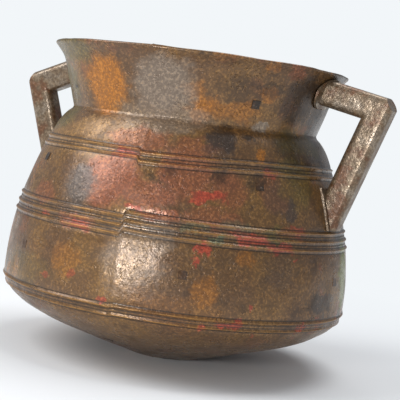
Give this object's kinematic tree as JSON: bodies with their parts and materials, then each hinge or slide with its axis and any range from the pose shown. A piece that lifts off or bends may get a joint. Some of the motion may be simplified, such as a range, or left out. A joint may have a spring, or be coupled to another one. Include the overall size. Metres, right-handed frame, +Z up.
{
  "type": "bronze cauldron",
  "caption": "Round-bellied cast bronze cauldron with a flared rim, cordons in bands, two angular handles and a small flat base.",
  "frame": {"origin": "centre of the flat base, on the vessel's axis", "axes": "+Z up along the vessel's axis, +X through the middle of the right handle"},
  "size_m": [0.3699, 0.3118, 0.2689],
  "materials": {
    "cast_bronze": "mottled brown patina, worn glossy",
    "handle_bronze": "grey-brown patina, worn bright",
    "chaplet_bronze": "dark brown patina"
  },
  "bodies": {
    "root": {"vessel": "cast_bronze", "right_handle": "handle_bronze", "left_handle": "handle_bronze", "neck_chaplet_1": "chaplet_bronze", "neck_chaplet_2": "chaplet_bronze", "neck_chaplet_3": "chaplet_bronze", "neck_chaplet_4": "chaplet_bronze", "shoulder_chaplet_1": "chaplet_bronze", "shoulder_chaplet_2": "chaplet_bronze", "shoulder_chaplet_3": "chaplet_bronze", "shoulder_chaplet_4": "chaplet_bronze", "belly_chaplet_1": "chaplet_bronze", "belly_chaplet_2": "chaplet_bronze", "belly_chaplet_3": "chaplet_bronze", "belly_chaplet_4": "chaplet_bronze", "belly_chaplet_5": "chaplet_bronze", "belly_chaplet_6": "chaplet_bronze", "bottom_chaplet_1": "chaplet_bronze", "bottom_chaplet_2": "chaplet_bronze", "bottom_chaplet_3": "chaplet_bronze"}
  },
  "joints": []
}
